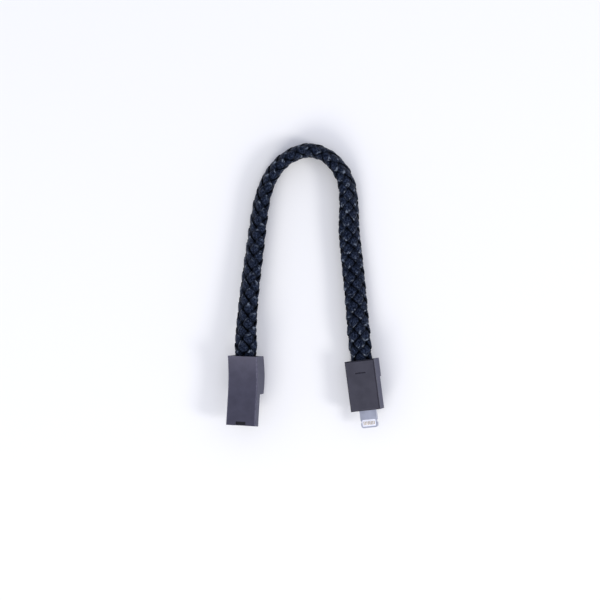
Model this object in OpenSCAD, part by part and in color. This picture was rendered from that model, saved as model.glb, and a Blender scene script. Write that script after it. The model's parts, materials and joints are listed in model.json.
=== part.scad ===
/* [Plug end: curved housing] */
// Width of the flat plug shell and of the housing behind it
usb_w = 12; // [10:0.5:16]
// Thickness of the flat plug shell
usb_plug_t = 4.5; // [3.8:0.1:6]
// Length of the flat plug shell
usb_plug_len = 12; // [9:0.5:16]
// Wall of the flat plug shell
usb_plug_wall = 0.3; // [0.2:0.05:0.4]
// Length of the housing behind the plug, along its hollow face
usb_body_len = 15; // [12:0.5:19]
// Radius of the hollow face that lies on the wrist
usb_face_r = 40; // [30:1:60]
// Radius of the domed back
usb_back_r = 20; // [16:1:30]
// How much deeper the dome's crown lies than the cord is thick
usb_crown = 6.25; // [5:0.25:9]
// Distance of the dome's crown from the cord mouth
usb_back_peak = 9.5; // [7:0.5:12]
// Radius of the long edges
usb_edge_r = 0.6; // [0.3:0.1:1]
// Radius of the back's edge at the cord mouth
usb_lip_r = 1.2; // [0.4:0.1:2]
// Width of the notch in the shell's end
usb_notch_w = 4; // [2:0.5:6]
// Length of the notch in the shell's end
usb_notch_len = 1.5; // [0.5:0.1:2.5]
// Thickness of the tongue inside the plug shell
tongue_t = 1.85; // [1.4:0.05:2.2]
// Free length of the tongue, in front of its block
tongue_len = 9.8; // [7:0.1:11]

/* [Tab end: flat housing] */
// Width of the housing
tab_w = 12; // [11:0.5:16]
// Length of the housing
tab_len = 19.7; // [17:0.1:26]
// Rim of the end cap above and below the cord's hole
cap_rim = 0.425; // [0.3:0.025:1]
// Thickness of the housing at the tab
tab_front_t = 6.65; // [6.2:0.05:7.6]
// Length of the thick part
tab_thick_len = 7.2; // [6.4:0.1:9]
// Thickness of the cover plate
cover_t = 1; // [0.8:0.05:1.2]
// Chamfer round the cover plate
cover_chamfer = 0.45; // [0.2:0.05:0.7]
// Radius of the lower long edges
tab_edge_r = 0.8; // [0.3:0.1:1.2]
// Width of the reversible tab
plug_w = 6.7; // [5.6:0.1:8]
// Thickness of the reversible tab
plug_t = 1.5; // [1.3:0.05:1.8]
// Exposed length of the reversible tab
plug_len = 6.9; // [5.8:0.1:8.5]
// Depth of the tab's middle plane below the cover's face
plug_depth = 3.8; // [3.4:0.1:4.2]
// Number of contacts on each face of the tab
plug_pins = 8; // [4:1:8]

/* [Shared] */
// Wall of both cast housings
wall = 0.9; // [0.7:0.05:1.1]
// Thickness of the end caps round the cord
cap_t = 1.2; // [0.8:0.1:1.6]
// Thickness of the circuit boards
board_t = 0.8; // [0.6:0.1:1]
// Radius of the four wires
wire_r = 0.3; // [0.2:0.05:0.32]

/* [Cord] */
// Wide diameter of the braided band
band_w = 8.5; // [7:0.1:9]
// Narrow diameter of the braided band
band_t = 5; // [4.2:0.1:5.2]
// Diameter of the charging cable inside the band
cable_d = 2.6; // [2.2:0.1:3.2]

/* [Hidden] */
curve_fn = 48;
face_fn = 240;
eps = 0.01;

// Clearances: cord in its hole, cable in its crimp and in the band, wire above a board.
hole_gap = 0.2;
cable_gap = 0.05;
bore_gap = 0.2;
wire_gap = 0.02;

// Depth reached inside a housing, from the cord mouth: band end, crimp end, cable end.
band_in = 3;
crimp_in = 6;
cable_in = 6.3;
crimp_wall = 0.95;
wire_x = [for (i = [0:3]) (i - 1.5) * 0.64];
pad_x = [for (i = [0:3]) (i - 1.5) * 1.8];
wire_rise = 0.4;
wire_sides = 8;

// Hollow face: straight along the plug, then an arc up to the mouth. Its two ends lie
// on the chord, which is the housing's own Y axis, with the mouth at Y = 0.
usb_arc = usb_body_len / usb_face_r * 180 / PI;
usb_rise = usb_face_r * (1 - cos(usb_arc));
usb_run = usb_plug_len + usb_face_r * sin(usb_arc);
usb_tilt = atan2(usb_rise, usb_run);
usb_len = norm([usb_run, usb_rise]);
usb_step = usb_len - usb_plug_len * cos(usb_tilt);
usb_back_depth = band_t + usb_crown;
usb_face_centre = [0, -usb_step + usb_face_r * sin(usb_tilt),
                   -usb_plug_len * sin(usb_tilt) + usb_face_r * cos(usb_tilt)];
usb_back_centre = [0, -usb_back_peak, usb_back_r - usb_back_depth];
usb_mouth_t = sqrt(pow(usb_back_r, 2) - pow(usb_back_peak, 2)) - usb_back_centre[2];
usb_axis = usb_mouth_t / 2;

// Plug shell, tongue and board, in the plug's own frame: tip at Y = 0, face at Z = 0.
shell_w = usb_w - 2 * usb_plug_wall;
shell_t = usb_plug_t - 2 * usb_plug_wall;
tongue_tip = 0.4;
tongue_side = 0.15;
block_y = tongue_tip + tongue_len;
block_end = usb_plug_len + 1.5;
contact_t = 0.25;
contact_proud = 0.1;
contact_end = block_end + 1.7;
contact_z = -usb_plug_wall - tongue_t - contact_proud;
usb_board_w = usb_w - 2 * wall - 1.2;
usb_board_end = in_plug([0, -cable_in, 0])[1] - 1.8;

// Tab end: as thick as the cord's hole needs, hollow behind the front wall and the
// moulded block that holds the tab.
tab_t = cover_t + wall + band_t + 2 * (hole_gap + cap_rim);
tab_axis = (cover_t + tab_t - wall) / 2;
front_wall = 1;
block_len = 3.5;
nose_w = plug_w + 1.3;
nose_t = plug_t + 1.3;
frame_back = -tab_len + front_wall + block_len;
plug_tip = -tab_len - plug_len;
window_w = 5.5;
window_len = 2.6;
window_gap = 0.55;
pin_len = 1.4;
pin_t = 0.12;
pin_fill = 0.62;
tab_board_w = tab_w - 2 * wall - 1.6;
tab_board_end = -cable_in - 1.7;
tab_board_top = -plug_depth + board_t / 2;

// Resting attitude of the two housings: turn about X, Y and Z, then the mouth's place.
usb_turn = [0.7, -16, -1.7];
tab_turn = [-1.9, -19.5, 8];
usb_rest = usb_w / 2 * sin(-usb_turn[1]) + usb_back_depth * cos(usb_turn[1])
    + usb_back_peak * sin(usb_turn[0])
    - usb_edge_r * (sin(-usb_turn[1]) + cos(usb_turn[1]) - 1);
tab_rest = tab_w / 2 * sin(-tab_turn[1]) + tab_t * cos(tab_turn[1])
    - tab_edge_r * (sin(-tab_turn[1]) + cos(tab_turn[1]) - 1);
usb_at = [-24.6, 14.2, usb_rest];
tab_at = [20.6, 12.5, tab_rest];

// Free stretch of the cord: X, Y, Z and the tilt of its outer flat from upright,
// 90 where the band stands on its edge at the top of the loop.
ROUTE = [[-23.2, 25, 7, 33], [-21.9, 40, 5.9, 43], [-20, 55, 5.1, 49],
         [-18, 70, 4.6, 57], [-16.3, 78, 4.4, 66], [-13, 85.6, 4.3, 73],
         [-7.3, 91.7, 4.3, 81], [0.5, 94.7, 4.3, 90], [7.6, 93, 4.3, 77],
         [13, 88, 4.3, 62], [16, 81.8, 4.3, 53], [17, 73.5, 4.3, 42],
         [17.1, 63, 4.3, 28], [18.2, 52, 4.4, 21], [19.5, 39, 4.7, 18],
         [20.5, 27, 5.2, 12]];
stub_out = 4;
ring_steps = 2;
band_sides = 12;
cable_sides = 12;

gunmetal = "#4b4a55";
gold = "#d9b36a";
tin = "#c8ccd0";
copper_green = "#1f6b3e";
black_moulding = "#17171b";
glue = "#c9c2a8";

// A point of the curved housing's frame, seen in the plug's frame.
function in_plug(p) =
    let (y = p[1] + usb_len, z = p[2])
    [p[0], cos(usb_tilt) * y - sin(usb_tilt) * z, sin(usb_tilt) * y + cos(usb_tilt) * z];

// The same turn as rotate(), for a point.
function turned(p, a) =
    let (x = [p[0], p[1] * cos(a[0]) - p[2] * sin(a[0]), p[1] * sin(a[0]) + p[2] * cos(a[0])],
         y = [x[0] * cos(a[1]) + x[2] * sin(a[1]), x[1], -x[0] * sin(a[1]) + x[2] * cos(a[1])])
    [y[0] * cos(a[2]) - y[1] * sin(a[2]), y[0] * sin(a[2]) + y[1] * cos(a[2]), y[2]];

module at_usb() translate(usb_at) rotate(usb_turn) children();
module at_tab() translate(tab_at) rotate(tab_turn) children();
module at_plug() at_usb() translate([0, -usb_len, 0]) rotate([-usb_tilt, 0, 0]) children();

// Extrudes a section drawn in X and Z from y0 to y1.
module along_y(y0, y1) translate([0, y1, 0]) rotate([90, 0, 0]) linear_extrude(y1 - y0) children();

module block(x0, x1, y0, y1, z0, z1) translate([x0, y0, z0]) cube([x1 - x0, y1 - y0, z1 - z0]);

module rounded_rect(w, h, r) {
    square([w - 2 * r, h], center = true);
    square([w, h - 2 * r], center = true);
    for (x = [-1, 1], y = [-1, 1])
        translate([x * (w / 2 - r), y * (h / 2 - r)]) circle(r, $fn = curve_fn);
}

module obround(w, h) {
    square([w - h, h], center = true);
    for (x = [-1, 1]) translate([x * (w - h) / 2, 0]) circle(h / 2, $fn = curve_fn);
}

module rod_y(x, z, y0, y1, r)
    translate([x, y1, z]) rotate([90, 0, 0]) cylinder(h = y1 - y0, r = r, $fn = curve_fn);

// A round bead of solder on a board's upper face, with the wire taken out of it.
module solder(x, y, z, r = 0.62) {
    difference() {
        intersection() {
            translate([x, y, z]) sphere(r, $fn = 32);
            block(x - r, x + r, y - r, y + r, z, z + r);
        }
        rod_y(x, z + wire_r + wire_gap, y - 2 * r, y + 2 * r, wire_r + wire_gap / 2);
    }
}

// The hole in both end caps and in the glue behind them.
module cord_hole(depth, y0, y1)
    translate([0, 0, -depth]) along_y(y0, y1)
        obround(band_w + 2 * hole_gap, band_t + 2 * hole_gap);

module crimp_barrel(depth, r, y0, y1) rod_y(0, -depth, y0, y1, r);

module crimp(depth)
    difference() {
        crimp_barrel(depth, cable_d / 2 + crimp_wall, -crimp_in, -band_in);
        crimp_barrel(depth, cable_d / 2 + cable_gap, -crimp_in - 1, -band_in + 1);
    }

// ---- Curved housing with the flat plug ----

// A ring about an X axis, whose edges are rounded all round.
module arc_ring(centre, r0, r1, w, r)
    translate(centre) rotate([0, 90, 0]) rotate_extrude($fn = face_fn)
        translate([(r0 + r1) / 2, 0]) rounded_rect(r1 - r0, w, r);

// The body between its two arcs, drawn in by the same amount all round.
module usb_body_form(inset, y0, y1, r)
    intersection() {
        arc_ring(usb_face_centre, usb_face_r + inset, usb_face_r + usb_back_depth + 4,
                 usb_w - 2 * inset, r);
        arc_ring(usb_back_centre, 1, usb_back_r - inset, usb_w - 2 * inset, r);
        block(-usb_w, usb_w, y0, y1, -2 * usb_back_depth, usb_back_depth);
    }

module plug_section(inset, y0, y1, r)
    translate([0, 0, -usb_plug_t / 2]) along_y(y0, y1)
        rounded_rect(usb_w - 2 * inset, usb_plug_t - 2 * inset, r);

module in_plug_frame() translate([0, -usb_len, 0]) rotate([-usb_tilt, 0, 0]) children();

// Takes the sharp lower edge of the cord mouth away, leaving a round one.
module usb_lip_cut()
    difference() {
        block(-usb_w, usb_w, -usb_lip_r, 1, -usb_mouth_t - 1, -usb_mouth_t + usb_lip_r);
        translate([-usb_w - 1, -usb_lip_r, -usb_mouth_t + usb_lip_r]) rotate([0, 90, 0])
            cylinder(h = 2 * usb_w + 2, r = usb_lip_r, $fn = curve_fn);
    }

module usb_housing() color(gunmetal) at_usb() difference() {
    union() {
        usb_body_form(0, -usb_step, 0, usb_edge_r);
        in_plug_frame() plug_section(0, 0, usb_plug_len + 2, usb_edge_r);
    }
    usb_body_form(wall, -usb_step + wall, 1, usb_edge_r / 2);
    in_plug_frame() {
        plug_section(usb_plug_wall, -1, block_end, usb_plug_wall);
        block(-usb_notch_w / 2, usb_notch_w / 2, -1, usb_notch_len, -usb_plug_wall - eps, 1);
    }
    usb_lip_cut();
}

module usb_end_cap() color("#3d3c46") at_usb() difference() {
    usb_body_form(wall, -cap_t, 0, usb_edge_r / 2);
    cord_hole(usb_axis, -cap_t - 1, 1);
    usb_lip_cut();
}

module usb_potting() color(glue) at_usb() difference() {
    usb_body_form(wall, -crimp_in, -cap_t, usb_edge_r / 2);
    cord_hole(usb_axis, -band_in, 0);
    crimp_barrel(usb_axis, cable_d / 2 + crimp_wall, -crimp_in - 1, -band_in + eps);
}

// The barrel is pressed flat where it meets the housing's inner face.
module usb_crimp() color(tin) at_usb() intersection() {
    crimp(usb_axis);
    usb_body_form(wall, -crimp_in - 1, 1, usb_edge_r / 2);
}

// One spring contact: short in the middle, long at the sides, as the power ones are.
function usb_contact_y(i) = tongue_tip + (abs(i - 1.5) > 1 ? 1.2 : 2.2);
module usb_contact(i)
    translate([(i - 1.5) * 2.33, 0, 0])
        block(-0.5, 0.5, usb_contact_y(i), contact_end, contact_z, contact_z + contact_t);

module usb_tongue() color(black_moulding) at_plug() difference() {
    union() {
        block(-shell_w / 2 + tongue_side, shell_w / 2 - tongue_side, tongue_tip, block_y + 1,
              -usb_plug_wall - tongue_t, -usb_plug_wall);
        plug_section(usb_plug_wall, block_y, block_end, usb_plug_wall);
    }
    for (i = [0:3]) usb_contact(i);
}

module usb_contacts() color(gold) at_plug() for (i = [0:3]) usb_contact(i);

module usb_board() color(copper_green) at_plug()
    block(-usb_board_w / 2, usb_board_w / 2, block_end, usb_board_end,
          contact_z - board_t, contact_z);

module usb_resistors() color("#2b2b2b") at_plug()
    for (x = [-2.4, 0, 2.4])
        translate([x, block_end + 2.2, contact_z - board_t - 0.25])
            cube([1, 0.5, 0.5], center = true);

usb_pad_y = usb_board_end - 1.2;
module usb_solder_joints() color(tin) at_plug()
    for (x = pad_x) solder(x, usb_pad_y, contact_z);

// Wire i: straight out of the cable, over to its pad, and flat on the board.
module usb_wire(i) at_plug() wire([
    in_plug([wire_x[i], -cable_in, wire_rise - usb_axis]),
    in_plug([wire_x[i], -cable_in - 0.2, wire_rise - usb_axis]),
    in_plug([wire_x[i], -cable_in - 0.5, wire_rise - usb_axis]),
    [pad_x[i], usb_board_end + 0.2, contact_z + wire_r + wire_gap],
    [pad_x[i], usb_pad_y - 0.4, contact_z + wire_r + wire_gap]]);

module usb_wire_red() color("#b3262b") usb_wire(0);
module usb_wire_white() color("#e8e8e8") usb_wire(1);
module usb_wire_green() color("#2a8f4a") usb_wire(2);
module usb_wire_black() color("#1c1c1e") usb_wire(3);

// ---- Flat housing with the reversible tab ----

// The housing's section, without what the cover plate fills.
module tray_section(t)
    intersection() {
        translate([0, -t / 2]) rounded_rect(tab_w, t, tab_edge_r);
        translate([-tab_w, -t - 1]) square([2 * tab_w, t + 1 - cover_t]);
    }

module tab_hollow(y0, y1, t)
    block(-tab_w / 2 + wall, tab_w / 2 - wall, y0, y1, -t + wall, -cover_t);

module tab_nose(y0, y1)
    translate([0, 0, -plug_depth]) along_y(y0, y1) obround(nose_w, nose_t);

module tab_housing() color(gunmetal) at_tab() difference() {
    union() {
        along_y(-tab_thick_len, 0) tray_section(tab_t);
        along_y(-tab_len, -tab_thick_len + 1) tray_section(tab_front_t);
    }
    tab_hollow(-tab_len + front_wall, -tab_thick_len + wall, tab_front_t);
    tab_hollow(-tab_thick_len + wall, 1, tab_t);
    block(-tab_w / 2 + wall, tab_w / 2 - wall, -tab_len + front_wall, 1, -cover_t - 1, 1);
    tab_nose(-tab_len - 1, -tab_len + front_wall + 1);
}

// The cover plate, chamfered on all four sides, with its two locating ribs below.
mark_w = 4.2;
mark_len = 0.6;
mark_depth = 0.2;
mark_at = 4.9;
rib_w = 0.8;
rib_t = 0.7;
rib_gap = 0.1;
module chamfered(half0, half1)
    polygon([[half0, -cover_t], [half1, -cover_t], [half1, -cover_chamfer],
             [half1 - cover_chamfer, 0], [half0 + cover_chamfer, 0], [half0, -cover_chamfer]]);

module tab_cover() color("#504f5b") at_tab() {
    difference() {
        intersection() {
            along_y(-tab_len, 0) chamfered(-tab_w / 2, tab_w / 2);
            translate([-tab_w / 2, 0, 0]) rotate([90, 0, 90]) linear_extrude(tab_w)
                chamfered(-tab_len, 0);
        }
        block(-mark_w / 2, mark_w / 2, -mark_at - mark_len / 2, -mark_at + mark_len / 2,
              -mark_depth, 1);
    }
    for (s = [-1, 1]) translate([s * (tab_w / 2 - wall - rib_gap - rib_w / 2), 0, 0])
        block(-rib_w / 2, rib_w / 2, frame_back + 0.5, -crimp_in - 0.5,
              -cover_t - rib_t, -cover_t + eps);
}

module tab_end_cap() color("#3d3c46") at_tab() difference() {
    tab_hollow(-cap_t, 0, tab_t);
    cord_hole(tab_axis, -cap_t - 1, 1);
}

module tab_potting() color(glue) at_tab() difference() {
    tab_hollow(-crimp_in, -cap_t, tab_t);
    cord_hole(tab_axis, -band_in, 0);
    crimp_barrel(tab_axis, cable_d / 2 + crimp_wall, -crimp_in - 1, -band_in + eps);
}

module tab_crimp() color(tin) at_tab() crimp(tab_axis);

// The tab's outline in plan, with its two spring detents.
module tab_plan(w, y0, y1, r) {
    translate([-w / 2, y0 + r]) square([w, y1 - y0 - r]);
    translate([-w / 2 + r, y0]) square([w - 2 * r, r]);
    for (s = [-1, 1]) translate([s * (w / 2 - r), y0 + r]) circle(r, $fn = curve_fn);
}

tip_r = 1;
detent_r = 0.55;
detent_in = 2.4;
neck_w = 4.8;
neck_t = 0.7;
window_y = plug_tip + window_gap;

module on_plug_plane(t) translate([0, 0, -plug_depth - t / 2]) linear_extrude(t) children();

module plug_core(y_back) {
    on_plug_plane(plug_t) translate([0, window_y + window_len / 2])
        rounded_rect(window_w, window_len, 0.4);
    on_plug_plane(neck_t) translate([-neck_w / 2, window_y + 0.5])
        square([neck_w, y_back - window_y - 0.5]);
}

module plug_frame() color("#b9bcc4") at_tab() difference() {
    on_plug_plane(plug_t) difference() {
        tab_plan(plug_w, plug_tip, frame_back, tip_r);
        for (s = [-1, 1]) translate([s * (plug_w / 2 + detent_r * 0.4), plug_tip + detent_in])
            circle(detent_r, $fn = curve_fn);
    }
    plug_core(frame_back + 1);
}

pin_pitch = neck_w / plug_pins;
module plug_pads(side)
    for (i = [0:plug_pins - 1])
        translate([(i - (plug_pins - 1) / 2) * pin_pitch,
                   window_y + window_len / 2, -plug_depth + side * (plug_t - pin_t) / 2])
            cube([pin_pitch * pin_fill, pin_len, pin_t], center = true);

module plug_insulator() color("#eceef2") at_tab() difference() {
    plug_core(frame_back);
    plug_pads(1);
    plug_pads(-1);
}

module plug_contacts_front() color(gold) at_tab() plug_pads(1);
module plug_contacts_back() color(gold) at_tab() plug_pads(-1);

module tab_front_block() color(black_moulding) at_tab() difference() {
    union() {
        tab_hollow(-tab_len + front_wall, frame_back, tab_front_t);
        tab_nose(-tab_len, -tab_len + front_wall + 1);
    }
    on_plug_plane(plug_t) tab_plan(plug_w, plug_tip, frame_back + 1, tip_r);
}

module tab_board() color(copper_green) at_tab()
    block(-tab_board_w / 2, tab_board_w / 2, frame_back, tab_board_end,
          tab_board_top - board_t, tab_board_top);

module tab_chip() color("#202124") at_tab()
    translate([0, (frame_back + tab_board_end) / 2, tab_board_top - board_t - 0.4])
        cube([3.4, 3.4, 0.8], center = true);

module tab_capacitors() color("#a8835a") at_tab()
    for (x = [-2.7, -0.9, 0.9, 2.7])
        translate([x, frame_back + 2, tab_board_top + 0.25]) cube([1, 0.5, 0.5], center = true);

tab_pad_y = tab_board_end - 1.2;
module tab_solder_joints() color(tin) at_tab()
    for (x = pad_x) solder(x, tab_pad_y, tab_board_top);

module tab_wire(i) at_tab() wire([
    [wire_x[i], -cable_in, wire_rise - tab_axis],
    [wire_x[i], -cable_in - 0.2, wire_rise - tab_axis],
    [wire_x[i], -cable_in - 0.5, wire_rise - tab_axis],
    [pad_x[i], tab_board_end + 0.2, tab_board_top + wire_r + wire_gap],
    [pad_x[i], tab_pad_y - 0.4, tab_board_top + wire_r + wire_gap]]);

module tab_wire_red() color("#b3262b") tab_wire(0);
module tab_wire_white() color("#e8e8e8") tab_wire(1);
module tab_wire_green() color("#2a8f4a") tab_wire(2);
module tab_wire_black() color("#1c1c1e") tab_wire(3);

// ---- Cord ----

function unit(v) = v / norm(v);

// The middle line, from one cable end to the other, each point with its flat's normal.
function flat_normal(prev, next, tilt) =
    let (t = unit([next[0] - prev[0], next[1] - prev[1]]))
    [-sin(tilt) * t[1], sin(tilt) * t[0], cos(tilt)];
function stub(at, turn, depth, y) =
    [at + turned([0, y, -depth], turn), turned([0, 0, 1], turn)];
last = len(ROUTE) - 1;
function free_point(i) =
    let (p = ROUTE[i], a = ROUTE[max(i - 1, 0)], b = ROUTE[min(i + 1, last)])
    [[p[0], p[1], p[2]], flat_normal(a, b, p[3])];
CENTRE = concat(
    [for (y = [-cable_in, -band_in, 0, stub_out]) stub(usb_at, usb_turn, usb_axis, y)],
    [for (i = [0:last]) free_point(i)],
    [for (y = [stub_out, 0, -band_in, -cable_in]) stub(tab_at, tab_turn, tab_axis, y)]);

// A smooth curve through the points, and through their normals in the same way.
function spline(a, b, c, d, t) =
    0.5 * (2 * b + (c - a) * t + (2 * a - 5 * b + 4 * c - d) * t * t
           + (3 * b - 3 * c + d - a) * t * t * t);
function smooth(list, k) = [
    for (i = [0:len(list) - 2], j = [0:ring_steps - 1])
        spline(list[max(i - 1, 0)][k], list[i][k], list[i + 1][k],
               list[min(i + 2, len(list) - 1)][k], j / ring_steps),
    list[len(list) - 1][k]];

// Each ring stands square to the line, with its wide axis across the flat.
function ring(p, n, i, a, b, sides) =
    let (m = len(p) - 1,
         t = unit(p[min(i + 1, m)] - p[max(i - 1, 0)]),
         w = unit(cross(t, n[i])),
         u = cross(w, t))
    [for (k = [0:sides - 1]) p[i] + a * cos(360 * k / sides) * w + b * sin(360 * k / sides) * u];

function side_faces(rings, sides, first, flip) = [
    for (i = [0:rings - 2], k = [0:sides - 1])
        let (a = first + i * sides + k, b = first + i * sides + (k + 1) % sides,
             quad = [a, b, b + sides, a + sides])
        flip ? [quad[3], quad[2], quad[1], quad[0]] : quad];

module solid_tube(p, n, r, sides) {
    rings = len(p);
    polyhedron(
        points = [for (i = [0:rings - 1]) each ring(p, n, i, r, r, sides)],
        faces = concat(side_faces(rings, sides, 0, true),
                       [[for (k = [0:sides - 1]) k]],
                       [[for (k = [sides - 1:-1:0]) (rings - 1) * sides + k]]));
}

// A thin wire through its points.
module wire(points) solid_tube(points, [for (p = points) [0, 0, 1]], wire_r, wire_sides);

module hollow_band(p, n, a, b, bore, sides) {
    rings = len(p);
    inner = rings * sides;
    end = (rings - 1) * sides;
    polyhedron(
        points = concat([for (i = [0:rings - 1]) each ring(p, n, i, a, b, sides)],
                        [for (i = [0:rings - 1]) each ring(p, n, i, bore, bore, sides)]),
        faces = concat(side_faces(rings, sides, 0, true),
                       side_faces(rings, sides, inner, false),
                       [for (k = [0:sides - 1]) let (j = (k + 1) % sides)
                            [k, j, inner + j, inner + k]],
                       [for (k = [0:sides - 1]) let (j = (k + 1) % sides)
                            [end + j, end + k, inner + end + k, inner + end + j]]));
}

cable_points = smooth(CENTRE, 0);
cable_normals = smooth(CENTRE, 1);
function without_ends(list) = [for (i = [ring_steps:len(list) - 1 - ring_steps]) list[i]];

module leather_band() color("#15171c")
    hollow_band(without_ends(cable_points), without_ends(cable_normals),
                band_w / 2, band_t / 2, cable_d / 2 + bore_gap, band_sides);

module data_cable() color("#2a2a2e")
    solid_tube(cable_points, cable_normals, cable_d / 2, cable_sides);

usb_housing();
usb_end_cap();
usb_tongue();
usb_contacts();
usb_board();
usb_resistors();
usb_solder_joints();
usb_crimp();
usb_potting();
usb_wire_red();
usb_wire_white();
usb_wire_green();
usb_wire_black();
tab_housing();
tab_cover();
tab_end_cap();
tab_front_block();
plug_frame();
plug_insulator();
plug_contacts_front();
plug_contacts_back();
tab_board();
tab_chip();
tab_capacitors();
tab_solder_joints();
tab_crimp();
tab_potting();
tab_wire_red();
tab_wire_white();
tab_wire_green();
tab_wire_black();
leather_band();
data_cable();
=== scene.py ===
"""Looks of a braided leather charging bracelet cable.

A flat plug in a curved cast housing and a reversible tab in a flat cast housing
are joined by a flat band of eight leather strands, plaited round a data cable.
Everything is in metres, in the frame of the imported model.
"""

import json
import logging
import math
from bisect import bisect_right
from dataclasses import dataclass, field
from enum import Enum

import bmesh
import bpy
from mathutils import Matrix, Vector

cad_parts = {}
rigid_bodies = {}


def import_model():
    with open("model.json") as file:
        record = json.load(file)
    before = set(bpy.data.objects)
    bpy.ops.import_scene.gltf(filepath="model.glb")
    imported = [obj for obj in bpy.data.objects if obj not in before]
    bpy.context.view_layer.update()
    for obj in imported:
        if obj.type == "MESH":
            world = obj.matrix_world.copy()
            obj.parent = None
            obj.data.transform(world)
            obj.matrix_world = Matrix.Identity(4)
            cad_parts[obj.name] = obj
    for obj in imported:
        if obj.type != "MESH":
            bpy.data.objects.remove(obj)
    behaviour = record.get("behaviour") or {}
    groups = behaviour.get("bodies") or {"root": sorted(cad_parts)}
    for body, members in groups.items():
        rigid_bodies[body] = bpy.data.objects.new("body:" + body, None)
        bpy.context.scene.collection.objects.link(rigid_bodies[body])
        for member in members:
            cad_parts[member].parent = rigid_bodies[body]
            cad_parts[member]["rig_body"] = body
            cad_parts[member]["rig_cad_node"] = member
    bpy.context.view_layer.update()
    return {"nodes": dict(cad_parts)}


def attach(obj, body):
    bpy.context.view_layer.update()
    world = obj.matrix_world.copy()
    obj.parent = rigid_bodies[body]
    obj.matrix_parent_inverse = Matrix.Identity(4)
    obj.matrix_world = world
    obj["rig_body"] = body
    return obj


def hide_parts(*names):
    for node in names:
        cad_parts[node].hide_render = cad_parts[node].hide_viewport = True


log = logging.getLogger("bracelet")
MM = 0.001
Colour = tuple[float, float, float]


class Sense(Enum):
    """The way a strand winds round the band, seen along it."""

    RIGHT = 1
    LEFT = -1


class Effect(Enum):
    """The shader effects that several finishes share."""

    GRAIN = "fine_grain"
    WEAR = "edge_wear"
    DUST = "settled_dust"
    HIDE = "leather_hide"


# ---- Shared shader effects ----


class Wiring:
    """Adds nodes to one node tree, with their sockets set or linked by name."""

    def __init__(self, tree: bpy.types.NodeTree) -> None:
        """Starts on a tree.

        Args:
            tree: the node tree that takes the new nodes.
        """
        self.tree = tree

    def add(self, kind: str, values: dict | None = None, **settings: object) -> bpy.types.Node:
        """Adds one node.

        Args:
            kind: the node's type name.
            values: for each input, by name or number, a value or the output that feeds it.
            **settings: the node's own properties, set before its inputs.

        Returns:
            The new node.
        """
        node = self.tree.nodes.new(kind)
        for name, value in settings.items():
            setattr(node, name, value)
        self.feed(node, values or {})
        return node

    def feed(self, node: bpy.types.Node, values: dict) -> None:
        """Sets or links a node's inputs.

        Args:
            node: the node.
            values: for each input, by name or number, a value or the output that feeds it.
        """
        for key, value in values.items():
            if isinstance(value, bpy.types.NodeSocket):
                self.tree.links.new(value, node.inputs[key])
            else:
                node.inputs[key].default_value = value

    def math(self, operation: str, first: object, second: object = 0.0) -> bpy.types.NodeSocket:
        """Adds a math node.

        Args:
            operation: the math node's operation.
            first: a value or an output.
            second: a value or an output.

        Returns:
            The result's output.
        """
        return self.add("ShaderNodeMath", {0: first, 1: second}, operation=operation).outputs[0]

    def ramp(self, factor: bpy.types.NodeSocket, low: float, high: float) -> bpy.types.NodeSocket:
        """Spreads a narrow range of a value over 0 to 1, with soft ends.

        Args:
            factor: the value.
            low: what becomes 0.
            high: what becomes 1.

        Returns:
            The spread value's output.
        """
        node = self.add("ShaderNodeMapRange", {0: factor, 1: low, 2: high},
                        interpolation_type="SMOOTHSTEP")
        return node.outputs[0]

    def noise(self, place: bpy.types.NodeSocket, scale: object, detail: float,
              roughness: float = 0.5, distortion: float = 0.0) -> bpy.types.NodeSocket:
        """Adds a noise texture.

        Args:
            place: the coordinates.
            scale: how many features fit in a unit, as a value or an output.
            detail: the number of finer layers.
            roughness: how strong the finer layers are.
            distortion: how far the features are pulled about.

        Returns:
            The noise's output.
        """
        return self.add("ShaderNodeTexNoise", {
            "Vector": place, "Scale": scale, "Detail": detail, "Roughness": roughness,
            "Distortion": distortion}).outputs[0]

    def around(self, tone: bpy.types.NodeSocket, middle: float,
               spread: float) -> bpy.types.NodeSocket:
        """Lets a tone move a value about a middle.

        Args:
            tone: the tone, 0 to 1.
            middle: the value at half tone.
            spread: the value's whole range.

        Returns:
            The moved value's output.
        """
        return self.math("ADD", self.math("MULTIPLY", tone, spread), middle - spread / 2)

    def bump(self, height: bpy.types.NodeSocket, strength: float,
             distance: float) -> bpy.types.NodeSocket:
        """Turns a height into a surface normal.

        Args:
            height: the height, 0 to 1.
            strength: how much of the relief shows.
            distance: the relief's depth, in metres.

        Returns:
            The normal's output.
        """
        return self.add("ShaderNodeBump", {"Strength": strength, "Distance": distance,
                                           "Height": height}).outputs[0]


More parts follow.
